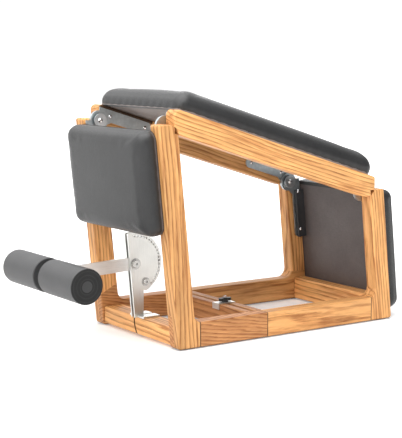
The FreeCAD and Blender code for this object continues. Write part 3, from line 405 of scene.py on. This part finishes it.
def felt(name, tone):
    """Pressed felt: matte with tangled fibres."""
    s = Shader(name)
    fibres = s.noise(s.place, 900.0, 5.0, 0.75)
    value = s.range(fibres, 0.3, 0.7, 0.7, 1.3)
    colour = s.mix(1.0, tone, s.vector(value, value, value), "MULTIPLY")
    s.base.inputs["Sheen Weight"].default_value = 0.3
    return s.finish(Base_Color=colour, Roughness=0.95, Normal=s.bump(fibres, 0.0006, 0.8))


def paint(name, material):
    """Give a CAD node its material."""
    slots = nodes[name].data.materials
    slots.clear()
    slots.append(material)


def paint_wood():
    """Each timber gets its own heart line, so that no two boards share a grain figure."""
    for side, sign in (("left", -1), ("right", 1)):
        # the seventh entry of each row is its shade: painted light and shade set per piece and per side,
        # so near and far copies differ, partly also each board's own tone
        side_pieces = {
            "front_post_": ("ash_front_post_", DOWN_POST, (0.20 + 0.02 * sign, 0.13 * sign), LIGHT_WOOD,
                            0.0095, 0.05, 0.95 + 0.12 * sign, butt_seams),
            "rear_post_": ("ash_rear_post_", DOWN_POST, (-0.38, 0.12 * sign), LIGHT_WOOD,
                           0.0100, -0.03, 1.0, butt_seams),
            # the top rails carry a painted shade line under the hinge arms
            "top_rail_": ("ash_top_rail_", DOWN_SLOPE, (-0.60 - 0.02 * sign, 0.02 * sign), LIGHT_WOOD,
                          0.0090, 0.012, 0.93 - 0.08 * sign, hinge_painted_shade),
            "base_rail_rear_": ("ash_base_rear_", ALONG_X, (-0.02, 0.09 * sign), LIGHT_WOOD,
                                0.0120, 0.02, 0.94 - 0.08 * sign, butt_seams),
            "base_rail_front_": ("ash_base_front_", ALONG_X, (-0.26, -0.02 * sign), WARM_WOOD,
                                 0.0085, 0.17, 1.0, butt_seams),
        }
        for node, (name, *look) in side_pieces.items():
            paint(node + side, wood(name + side, *look))
    # the cross rails' shade values are painted light as well, partly each board's own tone
    cross_pieces = {
        "front_cross_rail": ("ash_front_cross", (-0.16, 0.02), LIGHT_WOOD, 0.0100, 0.05, 1.20,
                             kerf_and_ends),
        "rear_cross_rail": ("ash_rear_cross", (0.40, -0.10), LIGHT_WOOD, 0.0110, 0.03, 1.25, end_seams),
        "middle_strip_front": ("ash_strip_front", (0.03, 0.12), WARM_WOOD, 0.0080, 0.03),
        "middle_strip_rear": ("ash_strip_rear", (0.10, -0.14), WARM_WOOD, 0.0090, -0.02),
    }
    for node, (name, *look) in cross_pieces.items():
        paint(node, wood(name, ALONG_Y, *look))
    paint("frame_dowels", wood("beech_dowels", ALONG_X, (0.05, 0.05), ring=0.0040))


def paint_rest():
    """Boards, metal, foam, plastic and felt."""
    board = laminate("board_face", (0.098, 0.083, 0.080))
    main = laminate("main_board_face", (0.205, 0.175, 0.162))
    black = laminate("black_stain", (0.030, 0.030, 0.032))
    zinc = metal("zinc_plate", (0.47, 0.52, 0.54), 0.38, (1, 0, 0), patches=0.10, edge_wear_and_shade=0.5)
    cover = metal("cover_plate", (0.62, 0.645, 0.66), 0.40, (0, 0, 1), patches=0.08, edge_wear_and_shade=0.6)
    satin = metal("satin_steel", (0.73, 0.73, 0.70), 0.40, (0, 0, 1), edge_wear_and_shade=0.6)
    lever = metal("satin_lever", (0.70, 0.69, 0.67), 0.38, (1, 0, 0), edge_wear_and_shade=0.5)
    bright = metal("bright_steel", (0.72, 0.72, 0.72), 0.20, (0, 1, 0), edge_wear_and_shade=0.4)
    # bolts: edges painted near black, a painted shade round the heads
    bolt = metal("bolt_steel", (0.50, 0.49, 0.47), 0.28, (0, 1, 0), edge_wear_and_shade=0.9, rim=(0.03, 0.03, 0.03))
    black_plastic = plastic("black_plastic", 0.020, 0.42)
    axle = Vector(joints["roller_left_spin"]["pos_m"])
    roller = foam("roller_skin", 0.034, axle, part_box("roller_foam_right")[1].y)
    groups = {
        board: ["front_flap_board", "rear_flap_board"],
        main: ["main_board"],
        black: ["front_flap_battens", "rear_flap_battens"],
        zinc: ["front_rail_arms", "rear_rail_arms", "front_flap_arms", "rear_flap_arms", "front_pawls",
               "rear_pawls", "ratchet_wheels"],
        cover: ["hinge_covers"],
        satin: ["bracket_plate_left", "bracket_plate_right", "bracket_spacer", "clamp_plate"],
        lever: ["lever_arm", "index_arm"],
        bolt: ["pivot_bolt", "clamp_bolt"],
        bright: ["hinge_pins", "hinge_rail_screws", "front_flap_bolts", "rear_flap_bolts", "index_pin",
                 "index_housing", "roller_axle", "axle_collars", "axle_clips", "clamp_t_bolt",
                 "bracket_screws", "board_screws"],
        roller: ["roller_foam_left", "roller_foam_right"],
        black_plastic: ["index_knob", "clamp_knob", "roller_plug_left", "roller_plug_right",
                        "roller_sleeve_left", "roller_sleeve_right"],
        felt("glide_felt", (0.10, 0.09, 0.08)): ["floor_glides"],
    }
    for material, names in groups.items():
        for name in names:
            paint(name, material)


# ---- padded panels ----
LEATHER = leather("black_leather")
PAD_VOXEL = 5.0 * MM              # mesh spacing of the simulated covers
PAD_INSET = 0.6 * MM              # cover's widest line inside the CAD outline
PAD_SINK = 2.0 * MM               # how far below its final crown a pad starts
PAD_CAP = 3.0 * MM                # furthest that the simulation may move the cover
PAD_RADIUS = 27.0 * MM            # corners of the padded panels, seen from above
PAD_SIDE = 0.42                   # share of the cushion's height that stands upright
SHOULDER_STEPS = 8
GRIP_SPAN = (0.20, 0.50)          # shares of the height between held and free cloth
CLOTH_STEPS = 20
RELAX_ROUNDS = 5
CROWN_START = 20.0 * MM           # height above the back where the crown is at full strength
PLEAT_DEPTH = 1.3 * MM
PLEATS = ((0.55, 0.8), (0.85, 1.0), (1.15, 0.7))     # angle round the corner, share of the depth
PLEAT_WIDTH = 0.075               # as an angle round the corner
GATHER_HEIGHT, GATHER_SPREAD = 9 * MM, 11 * MM    # where pleats and puckers are deepest
PUCKER_DEPTH = 0.35 * MM
PUCKER_RATE = 190                 # radians per metre along a side
BACK_LIFT = 0.8 * MM              # cover's flat back above the board's own back face


def panel_space(pad_node, board_node, along, normal):
    """Frame of a padded panel: matrix to the row frame, and its extents from its CAD nodes."""
    across = normal.cross(along)
    basis = Matrix((along, across, normal)).transposed()
    spots = [basis.transposed() @ v.co for n in (pad_node, board_node) for v in nodes[n].data.vertices]
    low = Vector([min(p[i] for p in spots) for i in range(3)])
    high = Vector([max(p[i] for p in spots) for i in range(3)])
    origin = Vector(((low.x + high.x) / 2, (low.y + high.y) / 2, low.z))
    matrix = Matrix.Translation(basis @ origin) @ basis.to_4x4()
    return matrix, (high.x - low.x) / 2, (high.y - low.y) / 2, high.z - low.z


def rounded_rectangle(half_x, half_y, radius, steps=8):
    """Outline points of a rounded rectangle, anticlockwise."""
    points = []
    for i, (sx, sy) in enumerate(((1, 1), (-1, 1), (-1, -1), (1, -1))):
        for k in range(steps + 1):
            angle = math.pi / 2 * (i + k / steps)
            points.append(Vector((sx * (half_x - radius) + radius * math.cos(angle),
                                  sy * (half_y - radius) + radius * math.sin(angle), 0)))
    return points


def new_object(name, mesh):
    """Object that holds a mesh, linked to the scene."""
    made = bpy.data.objects.new(name, mesh)
    bpy.context.scene.collection.objects.link(made)
    return made


def cushion_blank(name, half_x, half_y, height, radius, reach):
    """Closed cushion body: short upright sides and an oval shoulder of the given reach."""
    profile = [(0.03, 0.0), (0.0, PAD_SIDE * 0.5), (0.0, PAD_SIDE)]
    for k in range(1, SHOULDER_STEPS + 1):
        angle = math.pi / 2 * k / SHOULDER_STEPS
        profile.append((reach * (1 - math.cos(angle)), PAD_SIDE + (1 - PAD_SIDE) * math.sin(angle)))
    shape = bmesh.new()
    loops = []
    for inward, up in profile:
        inset = inward * height
        outline = rounded_rectangle(half_x - inset, half_y - inset, max(radius - 0.5 * inset, 6 * MM))
        loops.append([shape.verts.new((p.x, p.y, up * height)) for p in outline])
    count = len(loops[0])
    for lower, upper in zip(loops, loops[1:]):
        for i in range(count):
            j = (i + 1) % count
            shape.faces.new((lower[i], lower[j], upper[j], upper[i]))
    shape.faces.new(list(reversed(loops[0])))
    shape.faces.new(loops[-1])
    mesh = bpy.data.meshes.new(name)
    shape.to_mesh(mesh)
    shape.free()
    return new_object(name, mesh)


def apply_modifiers(piece):
    """Replace a piece's mesh by its evaluated one and drop its modifiers."""
    graph = bpy.context.evaluated_depsgraph_get()
    mesh = bpy.data.meshes.new_from_object(piece.evaluated_get(graph))
    old = piece.data
    piece.modifiers.clear()
    piece.data = mesh
    bpy.data.meshes.remove(old)


def remesh(piece, voxel):
    """Even out a closed mesh."""
    modifier = piece.modifiers.new("even", "REMESH")
    modifier.mode = "VOXEL"
    modifier.voxel_size = voxel
    apply_modifiers(piece)


def inflate(piece, height, cap):
    """Cloth simulation: the cover swells under pressure, held at its lower edge."""
    rest = [v.co.copy() for v in piece.data.vertices]
    held = piece.vertex_groups.new(name="held")
    start, end = GRIP_SPAN
    for v in piece.data.vertices:
        grip = 1.0 - min(1.0, max(0.0, (v.co.z / height - start) / (end - start)))
        if grip > 0:
            held.add([v.index], grip, "REPLACE")
    cloth = piece.modifiers.new("swell", "CLOTH")
    settings = cloth.settings
    settings.quality = 4
    settings.mass = 0.35
    settings.tension_stiffness = 12
    settings.compression_stiffness = 12
    settings.shear_stiffness = 6
    settings.bending_stiffness = 8.0
    settings.use_pressure = True
    settings.uniform_pressure_force = 4.0
    settings.effector_weights.gravity = 0
    settings.vertex_group_mass = "held"
    cloth.collision_settings.use_collision = False
    scene = bpy.context.scene
    for step in range(1, CLOTH_STEPS + 1):
        scene.frame_set(step)
    apply_modifiers(piece)
    for v, before in zip(piece.data.vertices, rest):
        move = v.co - before
        if move.length > cap:
            v.co = before + move * (cap / move.length)
    scene.frame_set(1)


def relax(piece, rounds):
    """Smooth away the voxel steps and the simulation's small wrinkles."""
    modifier = piece.modifiers.new("relax", "SMOOTH")
    modifier.factor = 0.5
    modifier.iterations = rounds
    apply_modifiers(piece)


def fit_cushion(piece, half_x, half_y, thick, crown):
    """Crown the top and bring the cover to the space that its CAD solids hold."""
    for v in piece.data.vertices:
        reach = max(0.0, 1 - (v.co.x / half_x) ** 2) * max(0.0, 1 - (v.co.y / half_y) ** 2)
        share = min(1.0, max(0.0, v.co.z / CROWN_START))
        v.co.z += crown * math.sqrt(reach) * share
    spots = [v.co for v in piece.data.vertices]
    scale_x = half_x / max(abs(p.x) for p in spots)
    scale_y = half_y / max(abs(p.y) for p in spots)
    low, high = min(p.z for p in spots), max(p.z for p in spots)
    for v in piece.data.vertices:
        v.co.x *= scale_x
        v.co.y *= scale_y
        v.co.z = (v.co.z - low) / (high - low) * (thick - BACK_LIFT) + BACK_LIFT


def pleat(piece, half_x, half_y, radius):
    """Folds at the corners where the leather is gathered, and small puckers along the sides."""
    for v in piece.data.vertices:
        x, y, z = v.co
        corner = Vector((abs(x) - (half_x - radius), abs(y) - (half_y - radius)))
        rim = math.exp(-((z - GATHER_HEIGHT) / GATHER_SPREAD) ** 2)
        if corner.x > 0 and corner.y > 0:
            angle = math.atan2(corner.y, corner.x)
            fold = sum(math.exp(-((angle - centre) / PLEAT_WIDTH) ** 2) * depth
                       for centre, depth in PLEATS)
            pull = corner.normalized() * PLEAT_DEPTH * fold * rim
            v.co.x -= math.copysign(pull.x, x)
            v.co.y -= math.copysign(pull.y, y)
        elif corner.x > 0:
            v.co.x -= math.copysign(PUCKER_DEPTH * rim * (1 + math.sin(y * PUCKER_RATE)), x)
        elif corner.y > 0:
            v.co.y -= math.copysign(PUCKER_DEPTH * rim * (1 + math.sin(x * PUCKER_RATE)), y)


def make_pad(label, body, along, normal, crown, overfill, reach):
    """One upholstered panel: swollen leather cover over foam and board, and its tucked-under band.
    crown is how far the middle rises above the edges, overfill how far the cover stands above the
    CAD pad, and reach the width of the shoulder as a share of the cushion's height."""
    matrix, half_x, half_y, thick = panel_space(label + "_pad", label + "_board", along, normal)
    thick += overfill
    wide_x, wide_y = half_x - PAD_INSET, half_y - PAD_INSET
    pad = cushion_blank(label + "_cushion", wide_x, wide_y, thick - crown - PAD_SINK, PAD_RADIUS, reach)
    remesh(pad, PAD_VOXEL)
    inflate(pad, thick, PAD_CAP)
    relax(pad, RELAX_ROUNDS)
    fit_cushion(pad, wide_x, wide_y, thick, crown)
    pleat(pad, half_x, half_y, PAD_RADIUS)
    level = pad.modifiers.new("smooth", "SUBSURF")
    level.levels = level.render_levels = 1
    apply_modifiers(pad)
    pad.data.transform(matrix)
    finish_soft(pad, body, label + "_pad")
    make_band(label, body, matrix, half_x, half_y, PAD_RADIUS)


def finish_soft(piece, body, node):
    """Shade a padded piece, give it the leather, attach it and hide its CAD node."""
    for polygon in piece.data.polygons:
        polygon.use_smooth = True
    piece.data.materials.clear()
    piece.data.materials.append(LEATHER)
    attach(piece, body)
    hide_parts(node)


def make_band(label, body, matrix, half_x, half_y, radius):
    """Leather folded onto the board's back: a thin flat ring."""
    width, thick = 13.0 * MM, 0.35 * MM
    outer = rounded_rectangle(half_x - 2.2 * MM, half_y - 2.2 * MM, radius)
    inner = rounded_rectangle(half_x - width, half_y - width, radius - width * 0.6)
    shape = bmesh.new()
    rings = []
    for outline, z in ((outer, 1.2 * MM), (outer, -thick), (inner, -thick), (inner, 0.2 * MM)):
        rings.append([shape.verts.new((p.x, p.y, z)) for p in outline])
    count = len(outer)
    for a, b in zip(rings, rings[1:] + rings[:1]):
        for i in range(count):
            j = (i + 1) % count
            shape.faces.new((a[i], b[i], b[j], a[j]))
    mesh = bpy.data.meshes.new(label + "_band")
    bmesh.ops.recalc_face_normals(shape, faces=shape.faces)
    shape.to_mesh(mesh)
    shape.free()
    band = new_object(label + "_band", mesh)
    mesh.materials.append(LEATHER)
    mesh.transform(matrix)
    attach(band, body)


# ---- camera, lights and floor ----
CAMERA_FROM_RAIL = Vector((-1.737, -2.846, 0.751))   # from the front cross rail's front face, on the floor
CAMERA_YAW = math.radians(34.33)                     # from +Y towards +X
CAMERA_PITCH = math.radians(7.48)                    # downwards
CAMERA_LENS = 105.4
AMBIENT = 0.47                                       # strength of the even light from all round
REFLECTED_SKY = (-0.42, 0.30, 0.85)                  # brightest direction in reflections
REFLECTED_SPAN = (-0.05, 0.90)                       # cosines to it, from darkest to brightest
REFLECTED_LOW, REFLECTED_HIGH = 0.03, 2.40
FLOOR_GLOW_REACH = (0.9, 2.4)                        # distances from the chair, in metres
FLOOR_GLOW = (0.24, 1.0)                             # strengths at those distances
OVERHEAD_POWER, KEY_POWER, BACK_POWER = 128.0, 72.0, 22.0


def look_at(thing, target):
    """Point a camera or lamp at a place."""
    thing.rotation_euler = (Vector(target) - thing.location).to_track_quat("-Z", "Y").to_euler()


def make_camera():
    """Camera off the chair's front left corner, a little above its top."""
    data = bpy.data.cameras.new("camera")
    camera = bpy.data.objects.new("camera", data)
    bpy.context.scene.collection.objects.link(camera)
    data.sensor_width = 36.0
    data.lens = CAMERA_LENS
    camera.location = CAMERA_FROM_RAIL + Vector((FRONT_FACE, 0, 0))
    ahead = Vector((math.sin(CAMERA_YAW) * math.cos(CAMERA_PITCH),
                    math.cos(CAMERA_YAW) * math.cos(CAMERA_PITCH), -math.sin(CAMERA_PITCH)))
    look_at(camera, camera.location + ahead)
    bpy.context.scene.camera = camera


def area_light(name, place, target, size, power):
    """Soft rectangular lamp."""
    data = bpy.data.lights.new(name, "AREA")
    data.shape = "RECTANGLE"
    data.size, data.size_y = size
    data.energy = power
    lamp = bpy.data.objects.new(name, data)
    bpy.context.scene.collection.objects.link(lamp)
    lamp.location = place
    look_at(lamp, target)


def studio_world():
    """White surround for the eye, dim even light, and reflections that darken towards the viewer."""
    world = bpy.data.worlds.new("studio")
    bpy.context.scene.world = world
    world.use_nodes = True
    tree = world.node_tree
    link = tree.links.new
    background = tree.nodes["Background"]
    background.inputs["Color"].default_value = (1.0, 1.0, 1.0, 1.0)
    rays = tree.nodes.new("ShaderNodeLightPath").outputs
    place = tree.nodes.new("ShaderNodeTexCoord").outputs["Generated"]
    facing = tree.nodes.new("ShaderNodeVectorMath")
    facing.operation = "DOT_PRODUCT"
    link(place, facing.inputs[0])
    facing.inputs[1].default_value = REFLECTED_SKY
    gradient = tree.nodes.new("ShaderNodeMapRange")
    for value, socket in zip((*REFLECTED_SPAN, REFLECTED_LOW, REFLECTED_HIGH), list(gradient.inputs)[1:5]):
        socket.default_value = value
    link(facing.outputs["Value"], gradient.inputs[0])

    def choose(chance, if_not, if_so):
        mix = tree.nodes.new("ShaderNodeMix")
        link(chance, mix.inputs[0])
        for value, socket in ((if_not, mix.inputs[2]), (if_so, mix.inputs[3])):
            if isinstance(value, float):
                socket.default_value = value
            else:
                link(value, socket)
        return mix.outputs[0]

    strength = choose(rays["Is Glossy Ray"], AMBIENT, gradient.outputs[0])
    strength = choose(rays["Is Camera Ray"], strength, 1.05)
    link(strength, background.inputs["Strength"])


def make_floor():
    """Pale floor with a faint glow of its own, so that it stays white to its edges."""
    shape = bmesh.new()
    bmesh.ops.create_grid(shape, x_segments=1, y_segments=1, size=14.0)
    mesh = bpy.data.meshes.new("studio_floor")
    shape.to_mesh(mesh)
    shape.free()
    floor = new_object("studio_floor", mesh)
    s = Shader("floor_paper")
    tone = s.range(s.noise(s.place, 3.0, 3.0), 0.3, 0.7, 0.84, 0.88)
    x, y = s.dot(ALONG_X), s.dot(ALONG_Y)
    away = s.math("SQRT", s.math("ADD", s.math("MULTIPLY", x, x), s.math("MULTIPLY", y, y)))
    glow = s.range(away, *FLOOR_GLOW_REACH, *FLOOR_GLOW)
    mesh.materials.append(s.finish(Base_Color=s.vector(tone, tone, tone), Roughness=0.7,
                                   Emission_Color=(1.0, 1.0, 1.0, 1.0), Emission_Strength=glow))


def make_lights():
    """A very large soft light overhead, a softer one from the viewer's left and one behind."""
    middle = (0.0, 0.0, 0.3)
    area_light("overhead", (-0.3, -0.5, 2.9), middle, (3.4, 3.4), OVERHEAD_POWER)
    area_light("key", (-3.7, -2.0, 2.3), middle, (2.2, 2.2), KEY_POWER)
    area_light("back", (2.6, 3.4, 2.2), middle, (2.0, 2.0), BACK_POWER)


paint_wood()
paint_rest()
make_pad("main", "frame", DOWN_SLOPE, UP_FROM_SLOPE, 10.0 * MM, 7.0 * MM, 0.60)
make_pad("front_flap", "front_flap", DOWN_POST, -REARWARD, 5.0 * MM, 2.0 * MM, 0.42)
make_pad("rear_flap", "rear_flap", DOWN_POST, REARWARD, 2.0 * MM, 6.0 * MM, 0.26)
make_camera()
studio_world()
make_floor()
make_lights()
bpy.context.scene.view_settings.view_transform = "Standard"
